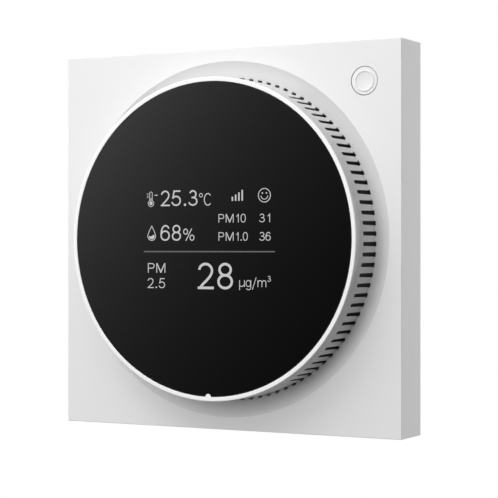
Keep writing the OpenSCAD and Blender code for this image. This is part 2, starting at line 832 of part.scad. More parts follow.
// Metal cages that close on the wires
module terminal_clamps() upright() color("silver")
    for (sx = [-1, 1]) translate([sx * pole_x, 0, 0]) difference() {
        block([-2.5, -23.4, cage_z[0]], [2.5, -16, cage_z[1]]);
        block([-1.7, -24, cage_z[0] + 1.4], [1.7, -15, cage_z[1] - 1.4]);
        translate([0, -19.6, 0]) rod(m25_r + 0.05, cage_z[0] - 1, cage_z[0] + 2);
    }

module terminal_screws() upright() color("gainsboro")
    for (sx = [-1, 1]) translate([sx * pole_x, -19.6, cage_z[0]])
        pan_screw(m25_r, 1.95, 1.5, 2);

front_panel();
dial_housing();
dust_mesh();
lens();
lens_adhesive();
display_glass();
display_backlight();
display_flex();
flex_connector();
display_carrier();
carrier_screws();
sensor_pad();
particle_case();
particle_cover();
particle_board();
fan_motor();
fan_rotor();
laser_module();
light_trap();
photodetector();
sensor_connector();
main_board();
board_parts();
board_screws();
radio_module();
radio_shield();
processor();
climate_board();
climate_sensor();
board_header();
board_socket();
button_cap();
switch_body();
switch_plunger();
mounting_plate();
rear_housing();
barrier_cover();
housing_screws();
power_board();
power_screws();
transformer_core();
transformer_coil();
capacitors();
fuse();
rectifier();
varistor();
terminal_block();
terminal_clamps();
terminal_screws();
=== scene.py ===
"""Air quality monitor: materials, readout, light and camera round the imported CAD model.

Row frame, in metres: X to the right, Y into the wall, Z up. The display faces -Y.
"""

import json
import math

import bmesh
import bpy
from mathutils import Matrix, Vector
from mathutils.geometry import delaunay_2d_cdt


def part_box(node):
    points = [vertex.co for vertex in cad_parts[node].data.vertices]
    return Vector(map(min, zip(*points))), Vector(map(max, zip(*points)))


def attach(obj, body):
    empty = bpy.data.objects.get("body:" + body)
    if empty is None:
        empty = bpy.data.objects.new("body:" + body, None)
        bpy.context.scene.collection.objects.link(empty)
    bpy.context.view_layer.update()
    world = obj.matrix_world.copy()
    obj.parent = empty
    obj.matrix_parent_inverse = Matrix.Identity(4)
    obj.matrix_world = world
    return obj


MM = 0.001

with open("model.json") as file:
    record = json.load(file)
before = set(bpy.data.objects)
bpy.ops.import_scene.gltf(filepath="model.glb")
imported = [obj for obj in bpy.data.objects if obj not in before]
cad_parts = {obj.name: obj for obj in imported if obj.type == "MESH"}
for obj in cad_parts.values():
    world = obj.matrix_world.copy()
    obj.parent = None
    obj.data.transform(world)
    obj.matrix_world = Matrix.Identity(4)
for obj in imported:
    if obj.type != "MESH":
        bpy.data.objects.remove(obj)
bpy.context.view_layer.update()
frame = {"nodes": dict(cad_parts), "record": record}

# ---------------------------------------------------------------- shader helpers


class Nodes:
    """Short ways to add nodes to a node tree."""

    def __init__(self, tree):
        self.tree = tree

    def add(self, kind, inputs=None, **settings):
        node = self.tree.nodes.new(kind)
        for name, value in settings.items():
            setattr(node, name, value)
        for key, value in (inputs or {}).items():
            self.put(node.inputs[key], value)
        return node

    def put(self, socket, value):
        """Links a node's output to a socket, or sets the socket's own value."""
        if isinstance(value, bpy.types.NodeSocket):
            self.tree.links.new(value, socket)
        elif socket.type == "RGBA":
            socket.default_value = (*value, 1)
        else:
            socket.default_value = value

    def math(self, operation, first, second=0.0):
        return self.add("ShaderNodeMath", {0: first, 1: second}, operation=operation).outputs[0]

    def spread(self, value, low, high, start=0.3, end=0.7):
        """Maps start..end to low..high."""
        inputs = {0: value, 1: start, 2: end, 3: low, 4: high}
        return self.add("ShaderNodeMapRange", inputs).outputs[0]

    def split(self, vector):
        """The x, y and z of a vector."""
        return self.add("ShaderNodeSeparateXYZ", {0: vector}).outputs

    def choose(self, factor, first, second):
        """Mixes two numbers."""
        inputs = {0: factor, 2: first, 3: second}
        return self.add("ShaderNodeMix", inputs, data_type="FLOAT").outputs[0]

    def blend(self, factor, first, second):
        """Mixes two colours."""
        inputs = {0: factor, 6: first, 7: second}
        return self.add("ShaderNodeMix", inputs, data_type="RGBA").outputs[2]


class Shader(Nodes):
    """A new material, and short ways to give it patterns in object coordinates."""

    def __init__(self, name):
        self.name = name
        self.material = bpy.data.materials.new(name)
        self.material.use_nodes = True
        super().__init__(self.material.node_tree)
        self.principled = self.tree.nodes["Principled BSDF"]
        self.place = self.add("ShaderNodeTexCoord").outputs["Object"]

    def set(self, name, value):
        self.put(self.principled.inputs[name], value)

    def current(self, name):
        """What is linked to one of the shader's sockets so far."""
        return self.principled.inputs[name].links[0].from_socket

    def axes(self):
        """The x, y and z of the object coordinates."""
        return self.split(self.place)

    def facing(self):
        """The x, y and z of the surface's own normal."""
        return self.split(self.add("ShaderNodeNewGeometry").outputs["Normal"])

    def radius(self):
        """Distance from the dial's own axis, which is the y axis."""
        x, _, z = self.axes()
        squares = self.math("ADD", self.math("MULTIPLY", x, x), self.math("MULTIPLY", z, z))
        return self.math("SQRT", squares)

    def stretched(self, scale):
        """Object coordinates times a scale for each axis."""
        inputs = {"Vector": self.place, "Scale": scale}
        return self.add("ShaderNodeMapping", inputs).outputs[0]

    def noise(self, scale, detail=2.0, vector=None):
        """Noise with this many waves in a metre, or along a vector that is scaled already."""
        inputs = {"Vector": vector or self.place, "Scale": scale, "Detail": detail}
        return self.add("ShaderNodeTexNoise", inputs).outputs[0]

    def cells(self, size, output="Distance"):
        """Cells of about this size: the distance from each one's middle, or its own random colour."""
        inputs = {"Vector": self.place, "Scale": 1 / size}
        return self.add("ShaderNodeTexVoronoi", inputs).outputs[output]

    def bands(self, axis, pitch, distortion=0.0):
        """Soft bands that repeat every pitch metres along an axis."""
        inputs = {
            "Vector": self.place,
            "Scale": math.pi / 10 / pitch,
            "Distortion": distortion,
            "Detail": 1.0,
        }
        return self.add("ShaderNodeTexWave", inputs, bands_direction=axis).outputs["Fac"]

    def mottled(self, color, low, high, scale, detail=2.0):
        """A colour that wanders between two shades of itself, with this many waves in a metre."""
        return self.blend(self.noise(scale, detail), shade(color, low), shade(color, high))

    def roughen(self, low, high, scale, detail=2.0):
        """Makes the roughness wander between two values, with this many waves in a metre."""
        self.set("Roughness", self.spread(self.noise(scale, detail), low, high))

    def bump(self, height, depth):
        """Bumps the surface by a height map whose white stands this many metres above its black."""
        inputs = {"Height": height, "Distance": depth, "Strength": 1.0}
        self.set("Normal", self.add("ShaderNodeBump", inputs).outputs[0])


def shade(color, factor):
    return tuple(min(1.0, c * factor) for c in color)


# ---------------------------------------------------------------- white case and window

# The dish's rim and the dial's wall are inside larger nodes, so their radii are given here
DISH_RIM = 40.2 * MM
DIAL_RADIUS = 36.0 * MM
PANEL_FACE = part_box("front_panel")[0].y
BEZEL_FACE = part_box("dial_housing")[0].y
# How far behind the panel's face the dish's painted shade starts, how deep the bezel's polish and
# painted highlight go, and how thick a skin of the dial's wall stays white outside the painted shade
DISH_SHADE_START, POLISH_AND_HIGHLIGHT_DEPTH, WHITE_SKIN = 0.005 * MM, 0.1 * MM, 0.15 * MM


def plastic(name, color, roughness, grain=0.25, depth=0.002, drift=0.02):
    """Moulded plastic: a slow drift of colour, uneven gloss, and a grain of a size and depth in mm."""
    s = Shader(name)
    s.set("Base Color", s.mottled(color, 1 - drift, 1 + drift, 70.0, 3.0))
    s.roughen(roughness - 0.04, roughness + 0.05, 900.0, 3.0)
    s.bump(s.noise(1 / (grain * MM)), depth * MM)
    return s


def shell_with_dish(name, color, dish_shade_color):
    """The panel's satin plastic, a shade darker in the dish round the dial, where the darker colour is
    painted shade.
    """
    s = plastic(name, color, 0.5, grain=0.3, depth=0.0025, drift=0.008)
    outside = s.current("Base Color")
    in_ring = s.math("LESS_THAN", s.radius(), DISH_RIM)
    sunk = s.math("GREATER_THAN", s.axes()[1], PANEL_FACE + DISH_SHADE_START)
    dished = s.math("MULTIPLY", in_ring, sunk)
    # Painted shade: the dish gets a darker colour than the panel
    shaded_inside = s.mottled(dish_shade_color, 0.995, 1.005, 120.0, 3.0)
    s.set("Base Color", s.blend(dished, outside, shaded_inside))
    return s


def wall_with_bezel(name, color, lit_bezel_color):
    """The dial's satin plastic: polished on the bezel's front face, with a painted highlight that
    makes that face lighter, and near black inside the wall as painted shade in the slots.
    """
    s = plastic(name, color, 0.45, grain=0.4, depth=0.0015, drift=0.006)
    wall = s.current("Base Color")
    dull = s.current("Roughness")
    front = s.math("LESS_THAN", s.axes()[1], BEZEL_FACE + POLISH_AND_HIGHLIGHT_DEPTH)
    # Painted highlight: the bezel's front face gets a lighter colour for the light it catches
    painted_bezel_highlight = s.mottled(lit_bezel_color, 0.99, 1, 150.0)
    # Painted shade: the inside of the wall, seen through the slots, is near black
    painted_slot_shade = s.blend(s.noise(400.0), (0.06, 0.06, 0.06), (0.07, 0.07, 0.07))
    shaded_inside = s.math("LESS_THAN", s.radius(), DIAL_RADIUS - WHITE_SKIN)
    s.set("Base Color", s.blend(front, s.blend(shaded_inside, wall, painted_slot_shade), painted_bezel_highlight))
    s.set("Roughness", s.math("SUBTRACT", dull, s.math("MULTIPLY", front, 0.15)))
    return s


def polished_window(name):
    """Glossy back-printed window: near black, faint waves, and smears in the polish."""
    s = Shader(name)
    s.set("Base Color", s.blend(s.noise(60.0), (0.0010, 0.0010, 0.0011), (0.0016, 0.0016, 0.0018)))
    s.roughen(0.02, 0.06, 220.0, 4.0)
    s.set("IOR", 1.5)
    s.bump(s.noise(60.0, 1.0), 0.0016 * MM)
    return s


# ---------------------------------------------------------------- display, mesh and foam


def dark_glass(name):
    """The display's own glass, with its fine grid of picture elements."""
    s = Shader(name)
    grid = s.math("MAXIMUM", s.bands("X", 0.2 * MM), s.bands("Z", 0.2 * MM))
    s.set("Base Color", s.blend(grid, (0.012, 0.014, 0.018), (0.004, 0.004, 0.005)))
    s.roughen(0.08, 0.14, 150.0)
    return s


def woven_mesh(name):
    """Fine mesh wrapped round the inside of the dial, with a faint painted glow."""
    s = Shader(name)
    radius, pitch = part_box("dust_mesh")[1].x, 0.42 * MM
    threads = round(2 * math.pi * radius / pitch)
    x, y, z = s.axes()
    round_it = s.math("MULTIPLY", s.math("ARCTAN2", z, x), threads / 2)
    along_it = s.math("MULTIPLY", y, math.pi / pitch)
    warp = s.math("ABSOLUTE", s.math("SINE", round_it))
    weft = s.math("ABSOLUTE", s.math("SINE", along_it))
    height = s.math("MAXIMUM", warp, weft)
    thread = s.spread(height, 0, 1, 0.55, 0.95)
    s.set("Base Color", s.blend(thread, (0.01, 0.01, 0.01), (0.04, 0.04, 0.042)))
    s.roughen(0.6, 0.75, 2000.0)
    s.set("Specular IOR Level", 0.2)
    # A painted glow: the mesh is no lamp, yet it glows faintly out of its shade
    s.set("Emission Color", (1.0, 1.0, 1.0))
    s.set("Emission Strength", 0.009)
    s.bump(height, 0.05 * MM)
    return s


def foam(name, color, cell):
    """Open-cell foam or foam tape, with cells of a size in mm, each darker in its middle as painted
    shade in the pore.
    """
    s = Shader(name)
    pores = s.cells(cell * MM)
    pore_shade = s.spread(pores, 0, 1, 0.1, 0.5)
    # Painted shade: the middle of each cell is darker than its walls
    s.set("Base Color", s.blend(pore_shade, shade(color, 0.4), shade(color, 1.2)))
    s.roughen(0.85, 0.95, 1500.0)
    s.bump(pores, 0.15 * MM)
    return s


# ---------------------------------------------------------------- metals


def rolled(name, color):
    """Rolled steel sheet, with streaks that run along x."""
    s = Shader(name)
    streaks = s.noise(1.0, 4.0, s.stretched((60.0, 3000.0, 3000.0)))
    tint = s.mottled(color, 0.9, 1.05, 120.0, 4.0)
    s.set("Base Color", s.blend(s.spread(streaks, 0, 0.35), tint, shade(color, 0.8)))
    s.set("Metallic", 1.0)
    s.set("Roughness", s.spread(streaks, 0.22, 0.42))
    s.set("Anisotropic", 0.4)
    s.bump(streaks, 0.002 * MM)
    return s


def plated(name, color, grain, roughness):
    """Zinc-plated steel: crystals of slightly different tone, and handling marks."""
    s = Shader(name)
    crystals = s.cells(grain * MM, "Color")
    tone = s.add("ShaderNodeSeparateColor", {0: crystals}).outputs[0]
    marks = s.noise(400.0, 6.0)
    tint = s.blend(tone, shade(color, 0.86), shade(color, 1.1))
    s.set("Base Color", s.blend(s.spread(marks, 0, 0.3, 0.55, 0.75), tint, shade(color, 0.6)))
    s.set("Metallic", 1.0)
    s.set("Roughness", s.spread(tone, roughness - 0.07, roughness + 0.08, 0, 1))
    s.bump(marks, 0.004 * MM)
    return s


def turned(name, color):
    """A turned barrel, with fine tool marks that follow each other along z."""
    s = Shader(name)
    marks = s.bands("Z", 0.35 * MM, 0.4)
    s.set("Base Color", s.mottled(color, 0.88, 1.08, 200.0, 4.0))
    s.set("Metallic", 1.0)
    s.set("Roughness", s.spread(marks, 0.17, 0.3, 0, 1))
    s.bump(marks, 0.006 * MM)
    return s


# ---------------------------------------------------------------- boards and their parts


def circuit_board(name, mask, track, roughness=0.32):
    """Laminate under solder mask: raised tracks that turn at right angles, and tinned vias."""
    s = Shader(name)
    turn = {"Vector": s.place, "Angle": math.pi / 2}
    layout = {
        "Vector": s.add("ShaderNodeVectorRotate", turn, rotation_type="X_AXIS").outputs[0],
        "Scale": 1 / MM,
        "Mortar Size": 0.16,
        "Mortar Smooth": 0.3,
        "Brick Width": 4.6,
        "Row Height": 1.1,
    }
    bricks = s.add("ShaderNodeTexBrick", layout, offset=0.37, squash=0.6, squash_frequency=3)
    tracks = bricks.outputs["Fac"]
    vias = s.spread(s.cells(3.1 * MM), 1, 0, 0.10, 0.13)
    masked = s.mottled(mask, 0.9, 1.1, 150.0, 3.0)
    s.set("Base Color", s.blend(vias, s.blend(tracks, masked, track), (0.62, 0.6, 0.55)))
    s.set("Metallic", s.math("MULTIPLY", vias, 0.9))
    s.roughen(roughness - 0.05, roughness + 0.06, 800.0)
    s.bump(s.math("MAXIMUM", tracks, vias), 0.03 * MM)
    return s


def film(name):
    """Amber polyimide with copper tracks that run along it."""
    s = Shader(name)
    tracks = s.spread(s.bands("Z", 0.8 * MM), 0, 1, 0.4, 0.6)
    s.set("Base Color", s.blend(tracks, (0.55, 0.27, 0.04), (0.68, 0.40, 0.12)))
    s.roughen(0.25, 0.4, 300.0)
    s.set("Coat Weight", 0.3)
    s.bump(tracks, 0.02 * MM)
    return s


def fibre_sheet(name, color):
    """Insulating board with short fibres in it."""
    s = Shader(name)
    fibres = s.noise(1.0, 5.0, s.stretched((400.0, 2500.0, 3000.0)))
    flecks = s.noise(1.0, 5.0, s.stretched((3000.0, 2500.0, 500.0)))
    both = s.math("MULTIPLY", fibres, flecks)
    weight = s.spread(both, 0, 1, 0.15, 0.4)
    s.set("Base Color", s.blend(weight, shade(color, 0.85), shade(color, 1.06)))
    s.set("Roughness", s.spread(fibres, 0.6, 0.75))
    s.bump(both, 0.02 * MM)
    return s


def wound_tape(name, color):
    """Turns of glossy yellow tape round a winding."""
    s = Shader(name)
    laps = s.bands("Y", 1.6 * MM, 0.6)
    s.set("Base Color", s.blend(laps, shade(color, 0.75), shade(color, 1.08)))
    s.roughen(0.22, 0.38, 500.0, 4.0)
    s.bump(laps, 0.08 * MM)
    return s


def speckled(name, color, roughness, grain, depth, fleck=1.6):
    """A hard surface with fine pits and lighter flecks, such as ferrite or eroded plastic."""
    s = Shader(name)
    pits = s.noise(1 / (grain * MM), 3.0)
    flecks = s.spread(s.noise(2.2 / (grain * MM), 1.0), 0, 1, 0.62, 0.72)
    tint = s.mottled(color, 0.92, 1.08, 60.0, 3.0)
    s.set("Base Color", s.blend(flecks, tint, shade(color, fleck)))
    s.set("Roughness", s.spread(pits, roughness - 0.06, roughness + 0.08))
    s.bump(pits, depth * MM)
    return s


def sleeved_can(name, color):
    """Capacitor can: a printed sleeve with a pale stripe below, and a bare aluminium top."""
    s = Shader(name)
    _, normal_y, normal_z = s.facing()
    top = s.math("LESS_THAN", normal_y, -0.8)
    stripe = s.math("LESS_THAN", normal_z, -0.88)
    sleeve = s.blend(stripe, s.mottled(color, 0.9, 1.1, 90.0), (0.55, 0.57, 0.6))
    s.set("Base Color", s.blend(top, sleeve, (0.7, 0.7, 0.71)))
    s.set("Metallic", top)
    s.roughen(0.25, 0.4, 600.0, 3.0)
    s.bump(s.noise(1500.0), 0.003 * MM)
    return s


def capped_fuse(name, color):
    """Ceramic tube between two plated end caps, told apart by where they are."""
    s = Shader(name)
    x = s.axes()[0]
    low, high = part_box("fuse")
    cap = 3.0 * MM
    left = s.math("LESS_THAN", x, low.x + cap)
    right = s.math("GREATER_THAN", x, high.x - cap)
    ends = s.math("MAXIMUM", left, right)
    body = s.mottled(color, 0.9, 1.05, 500.0, 4.0)
    s.set("Base Color", s.blend(ends, body, (0.66, 0.65, 0.62)))
    s.set("Metallic", ends)
    s.roughen(0.3, 0.45, 900.0, 3.0)
    s.bump(s.noise(2500.0), 0.004 * MM)
    return s


def chip_parts(name, color):
    """Small ceramic parts with tinned ends, which repeat every 2 mm along x."""
    s = Shader(name)
    part = s.math("FRACT", s.math("DIVIDE", s.axes()[0], 2.0 * MM))
    ends = s.math("MAXIMUM", s.math("LESS_THAN", part, 0.2), s.math("GREATER_THAN", part, 0.8))
    body = s.mottled(color, 0.8, 1.15, 900.0, 3.0)
    s.set("Base Color", s.blend(ends, body, (0.7, 0.69, 0.66)))
    s.set("Metallic", ends)
    s.roughen(0.35, 0.5, 1500.0, 3.0)
    s.bump(s.noise(4000.0), 0.01 * MM)
    return s


# ---------------------------------------------------------------- one material for each slot

WHITE = (0.77, 0.77, 0.768)
MATERIALS = [
    # The shell's second colour is the painted shade in the dish
    shell_with_dish("white_shell", WHITE, (0.685, 0.685, 0.683)),
    # The dial's second colour is the painted highlight on the bezel
    wall_with_bezel("white_dial", WHITE, (0.9, 0.9, 0.898)),
    plastic("button_white", WHITE, 0.4, grain=0.3, depth=0.0015, drift=0.006),
    polished_window("black_window"),
    foam("tape", (0.03, 0.03, 0.03), cell=0.25),
    woven_mesh("mesh"),
    dark_glass("display_glass"),
    plastic("tray_white", (0.82, 0.82, 0.8), 0.4),
    film("flex_film"),
    plastic("connector", (0.82, 0.78, 0.66), 0.42, grain=0.3, depth=0.004, drift=0.04),
    plastic("black_plastic", (0.03, 0.03, 0.032), 0.45, depth=0.006, drift=0.1),
    foam("foam", (0.07, 0.07, 0.075), cell=0.6),
    plastic("sensor_blue", (0.04, 0.12, 0.3), 0.4, grain=0.3, depth=0.004, drift=0.06),
    rolled("sheet_steel", (0.60, 0.60, 0.59)),
    plated("zinc_steel", (0.58, 0.59, 0.6), grain=1.4, roughness=0.34),
    plated("screw_steel", (0.56, 0.56, 0.55), grain=0.4, roughness=0.26),
    turned("brass", (0.72, 0.5, 0.2)),
    circuit_board("green_board", (0.008, 0.11, 0.05), (0.02, 0.2, 0.09)),
    circuit_board("black_board", (0.01, 0.012, 0.014), (0.03, 0.035, 0.04)),
    circuit_board("blue_board", (0.01, 0.05, 0.2), (0.03, 0.12, 0.36)),
    circuit_board("tan_board", (0.42, 0.29, 0.11), (0.3, 0.19, 0.07), roughness=0.5),
    speckled("chip_black", (0.018, 0.018, 0.019), 0.55, grain=0.12, depth=0.006),
    chip_parts("ceramic_parts", (0.4, 0.29, 0.18)),
    plastic("sensor_cap", (0.8, 0.8, 0.78), 0.42),
    plastic("fan_black", (0.02, 0.02, 0.02), 0.38, grain=0.3, depth=0.004, drift=0.1),
    speckled("housing_black", (0.035, 0.035, 0.038), 0.55, grain=0.3, depth=0.02, fleck=1.35),
    fibre_sheet("barrier", (0.66, 0.64, 0.57)),
    speckled("ferrite", (0.05, 0.05, 0.053), 0.6, grain=0.15, depth=0.02, fleck=2.2),
    wound_tape("winding", (0.8, 0.55, 0.05)),
    sleeved_can("can_blue", (0.02, 0.05, 0.17)),
    capped_fuse("fuse_body", (0.72, 0.69, 0.6)),
    speckled("varistor_blue", (0.02, 0.12, 0.38), 0.3, grain=0.4, depth=0.02, fleck=1.2),
    plastic("terminal_green", (0.015, 0.16, 0.08), 0.4, grain=0.3, depth=0.005, drift=0.06),
]
by_slot = {s.name: s.material for s in MATERIALS}

for subpart in frame["record"]["subparts"]:
    slots = frame["nodes"][subpart["node"]].data.materials
    slots.clear()
    slots.append(by_slot[subpart["material_slot"]])

# ---------------------------------------------------------------- strokes
# A letter is a list of strokes in a box that goes from 0 to 1 both ways. The box is the middle
# line of its outermost strokes, so the ink reaches half a stroke's width further on every side.


def line(*points, grow=""):
    """An open stroke. grow holds s or e where the start or end runs on to the ink's own edge."""
    return list(points), False, grow


def arc(cx, cy, rx, ry, start, end, power=2.0):
    """Points along an ellipse, or a squarer curve if the power is over 2. Angles in degrees."""
    steps = max(6, round(abs(end - start) / 7.5))
    points = []
    for i in range(steps + 1):
        angle = math.radians(start + (end - start) * i / steps)
        c, s = math.cos(angle), math.sin(angle)
        x = math.copysign(abs(c) ** (2 / power), c)
        y = math.copysign(abs(s) ** (2 / power), s)
        points.append((cx + rx * x, cy + ry * y))
    return points


def oval(cx, cy, rx, ry, power=2.0):
    """Points all the way round."""
    return arc(cx, cy, rx, ry, 0, 360, power)[:-1]


def loop(*shape):
    """A closed stroke round an oval."""
    return oval(*shape), True, ""


GLYPHS = {
    "0": [loop(0.5, 0.5, 0.5, 0.5, 2.35)],
    "1": [line((1, 0), (1, 1), grow="se"), line((0.96, 1), (0.62, 0.86), (0.0, 0.72))],
    "2": [
        line(
            *arc(0.485, 0.72, 0.465, 0.28, 172, -12),
            (0.90, 0.585), (0.80, 0.48), (0.62, 0.35), (0.40, 0.22), (0.22, 0.11), (0.11, 0.0),
        ),
        line((0, 0), (1, 0), grow="se"),
    ],
    "3": [
        line(*arc(0.475, 0.765, 0.40, 0.235, 162, -88)),
        line(*arc(0.475, 0.265, 0.525, 0.265, 88, -166)),
        line((0.30, 0.53), (0.50, 0.53)),
    ],
    "5": [
        line((0.20, 1), (0.93, 1), grow="e"),
        line((0.21, 1), (0.06, 0.47), grow="s"),
        line(*arc(0.46, 0.315, 0.54, 0.315, 148, -165)),
    ],
    "6": [
        loop(0.5, 0.31, 0.5, 0.31, 2.1),
        line(
            *arc(0.53, 0.745, 0.43, 0.255, 12, 90),
            *arc(0.53, 0.42, 0.53, 0.58, 95, 180),
            (0.0, 0.31),
        ),
    ],
    "8": [loop(0.5, 0.765, 0.42, 0.235), loop(0.5, 0.268, 0.5, 0.268)],
    "P": [
        line((0, 0), (0, 1), grow="se"),
        line((0, 1), *arc(0.58, 0.735, 0.42, 0.265, 90, -90, 2.2), (0, 0.47)),
    ],
    "C": [line(*arc(0.5, 0.5, 0.5, 0.5, 42, 318))],
    "u": [
        line((0, -0.52), (0, 1), grow="se"),
        line((1, 0), (1, 1), grow="se"),
        line((0, 0.4), *arc(0.46, 0.32, 0.46, 0.32, 180, 290), (0.95, 0.3)),
    ],
    "g": [
        loop(0.48, 0.5, 0.48, 0.5, 2.1),
        line((1, 1), *arc(0.52, -0.18, 0.48, 0.34, 0, -158), grow="s"),
    ],
    "m": [
        line((0, 0), (0, 1), grow="se"),
        line((0, 0.6), *arc(0.27, 0.68, 0.23, 0.32, 150, 0), (0.5, 0), grow="e"),
        line((0.5, 0.6), *arc(0.77, 0.68, 0.23, 0.32, 150, 0), (1, 0), grow="e"),
    ],
    "/": [line((0, 0), (1, 1), grow="se")],
    "%": [
        loop(0.19, 0.77, 0.19, 0.23),
        loop(0.81, 0.23, 0.19, 0.23),
        line((0.24, 0), (0.76, 1), grow="se"),
    ],
}

# ---------------------------------------------------------------- flat polygons, in mm


def polygon(points):
    return [Vector(p) for p in points]


def unit(vector):
    return vector / max(vector.length, 1e-12)


def ribbon(points, closed, width, grow=""):
    """Quads that follow a line of points, with mitred joins and square ends."""
    path = polygon(points)
    if "s" in grow:
        path[0] = path[0] + unit(path[0] - path[1]) * width / 2
    if "e" in grow:
        path[-1] = path[-1] + unit(path[-1] - path[-2]) * width / 2
    count = len(path)
    sides = []
    for i, here in enumerate(path):
        before = path[i - 1] if closed or i else None
        after = path[(i + 1) % count] if closed or i < count - 1 else None
        ways = [unit(b - a) for a, b in ((before, here), (here, after)) if a and b]
        across = [Vector((-way.y, way.x)) for way in ways]
        middle = unit(sum(across, Vector((0, 0))))
        reach = width / 2 / max(0.5, middle.dot(across[0]))
        sides.append((here + middle * reach, here - middle * reach))
    following = sides[1:] + sides[:1] if closed else sides[1:]
    return [[a[1], b[1], b[0], a[0]] for a, b in zip(sides, following)]


def ring(cx, cy, radius, width):
    return ribbon(oval(cx, cy, radius, radius), True, width)


def disc(cx, cy, radius):
    return [polygon(oval(cx, cy, radius, radius))]


def bar(left, right, low, high):
    return [polygon(((left, low), (right, low), (right, high), (left, high)))]


def capital_m(left, right, low, high, stroke):
    """Outline of an M: two stems and a V that comes down to the foot."""
    middle, splay, foot = (left + right) / 2, 1.35 * stroke, 0.52 * stroke
    tall = high - low
    shoulder = high - 0.16 * tall
    outer = [(left, low), (left + stroke, low), (left + stroke, shoulder)]
    outer += [(middle - foot, low), (middle + foot, low)]
    outer += [(right - stroke, shoulder), (right - stroke, low), (right, low)]
    outer += [(right, high), (right - splay, high), (middle, low + 0.2 * tall)]
    outer += [(left + splay, high), (left, high)]
    return [polygon(outer)]


def letter(char, left, right, low, high, stroke):
    """Polygons of one letter whose ink fills a box."""
    if char == ".":
        return bar(left, right, low, low + (right - left))
    if char == "M":
        return capital_m(left, right, low, high, stroke)
    half = stroke / 2
    x0, y0 = left + half, low + half
    width, height = right - left - stroke, high - low - stroke
    polygons = []
    for points, closed, grow in GLYPHS[char]:
        placed = [(x0 + width * x, y0 + height * y) for x, y in points]
        polygons += ribbon(placed, closed, stroke, grow)
    return polygons


def word(text, spans, row, stroke):
    """Polygons of a word. row is its (foot, top), and spans has each letter's (left, right)."""
    return [p for char, span in zip(text, spans) for p in letter(char, *span, *row, stroke)]


def face():
    """A round face with two eyes and a smile."""
    x, y = 14.12, 9.5
    polygons = ring(x, y, 1.48, 0.18)
    for eye_x in (x - 0.5, x + 0.5):
        polygons += disc(eye_x, y + 0.48, 0.18)
    return polygons + ribbon(arc(x, y, 0.84, 0.86, 184, 356), False, 0.16)


def thermometer():
    """A tube on a bulb, with a scale to its left and a small arrow to its right."""
    x, tube, tube_foot, tube_top = -14.85, 0.34, 8.62, 10.36
    bulb_y, bulb = 8.1, 0.72
    outline = [(x + tube, tube_foot)]
    outline += arc(x, tube_top, tube, 0.3, 0, 180)
    outline += [(x - tube, tube_foot)]
    outline += arc(x, bulb_y, bulb, bulb, 133, 407)[1:-1]
    polygons = ribbon(outline, True, 0.15)
    polygons += disc(x, bulb_y, 0.42)
    polygons += bar(x - 0.11, x + 0.11, 8.3, 9.3)
    for mark in (10.25, 9.95, 9.65, 9.35):
        polygons += bar(-15.92, -15.5, mark, mark + 0.1)
    polygons += bar(-14.0, -13.3, 9.85, 9.98)
    polygons.append(polygon(((-13.45, 9.68), (-13.05, 9.915), (-13.45, 10.15))))
    return polygons


def droplet():
    """A drop with water in its lower half."""
    x = -14.65
    outline = [(x, 2.98), (x - 0.4, 2.28), (x - 0.77, 1.58)]
    outline += arc(x, 0.72, 1.02, 0.98, 158, 382)
    outline += [(x + 0.77, 1.58), (x + 0.4, 2.28)]
    wave = [(-15.36, 0.78), (-14.98, 0.62), (-14.6, 0.72), (-14.25, 0.98), (-13.92, 0.98)]
    water = wave + arc(x, 0.66, 0.74, 0.66, 12, -165)
    return ribbon(outline, True, 0.17) + [polygon(water)]


def signal():
    """Four bars of rising height."""
    polygons = []
    for left, top in ((5.975, 9.28), (6.8, 9.75), (7.62, 10.22), (8.44, 10.76)):
        polygons += bar(left, left + 0.36, 8.375, top)
    return polygons


# ---------------------------------------------------------------- readout

LENS_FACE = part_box("lens")[0].y
# A plate reaches this far into the window's face, and stands this far proud of it
SUNK, PROUD = 0.05 * MM, 0.02 * MM


def union(polygons):
    """Points and faces of the union of flat polygons that may overlap."""
    corners, outlines = [], []
    for points in polygons:
        area = sum(a.x * b.y - b.x * a.y for a, b in zip(points, points[1:] + points[:1]))
        outlines.append(list(range(len(corners), len(corners) + len(points))))
        corners += points if area > 0 else points[::-1]
    flat, _, faces, _, _, sources = delaunay_2d_cdt(corners, [], outlines, 1, 1e-4)
    return flat, [list(face) for face, source in zip(faces, sources) if source]


def plate(name, polygons, material):
    """A thin closed plate on the window: the union of flat polygons, in mm from its centre."""
    flat, faces = union(polygons)
    mesh = bmesh.new()
    front = [mesh.verts.new((p.x * MM, LENS_FACE - PROUD, p.y * MM)) for p in flat]
    back = [mesh.verts.new((p.x * MM, LENS_FACE + SUNK, p.y * MM)) for p in flat]
    edges = []
    for corners in faces:
        mesh.faces.new([front[i] for i in corners])
        mesh.faces.new([back[i] for i in reversed(corners)])
        edges += zip(corners, corners[1:] + corners[:1])
    inner = {(b, a) for a, b in edges}
    for a, b in edges:
        if (a, b) not in inner:
            mesh.faces.new([front[b], front[a], back[a], back[b]])
    loose = [v for v in mesh.verts if not v.link_faces]
    bmesh.ops.delete(mesh, geom=loose, context="VERTS")
    bmesh.ops.recalc_face_normals(mesh, faces=mesh.faces)
    data = bpy.data.meshes.new(name)
    mesh.to_mesh(data)
    mesh.free()
    data.materials.append(material)
    piece = bpy.data.objects.new(name, data)
    bpy.context.scene.collection.objects.link(piece)
    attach(piece, "monitor")


def lit_ink(name, level):
    """Readout ink that glows evenly, with the faint grid of the picture elements behind it."""
    s = Shader(name)
    grid = s.math("MAXIMUM", s.bands("X", 0.16 * MM), s.bands("Z", 0.16 * MM))
    glow = s.blend(grid, shade((1.0, 1.0, 1.01), level), shade((0.94, 0.94, 0.95), level))
    s.set("Base Color", (0.02, 0.02, 0.02))
    s.roughen(0.35, 0.5, 800.0)
    s.set("Emission Color", glow)
    s.set("Emission Strength", 1.0)
    return s.material


bright = lit_ink("readout_ink", 0.54)
dim = lit_ink("readout_divider_ink", 0.1)

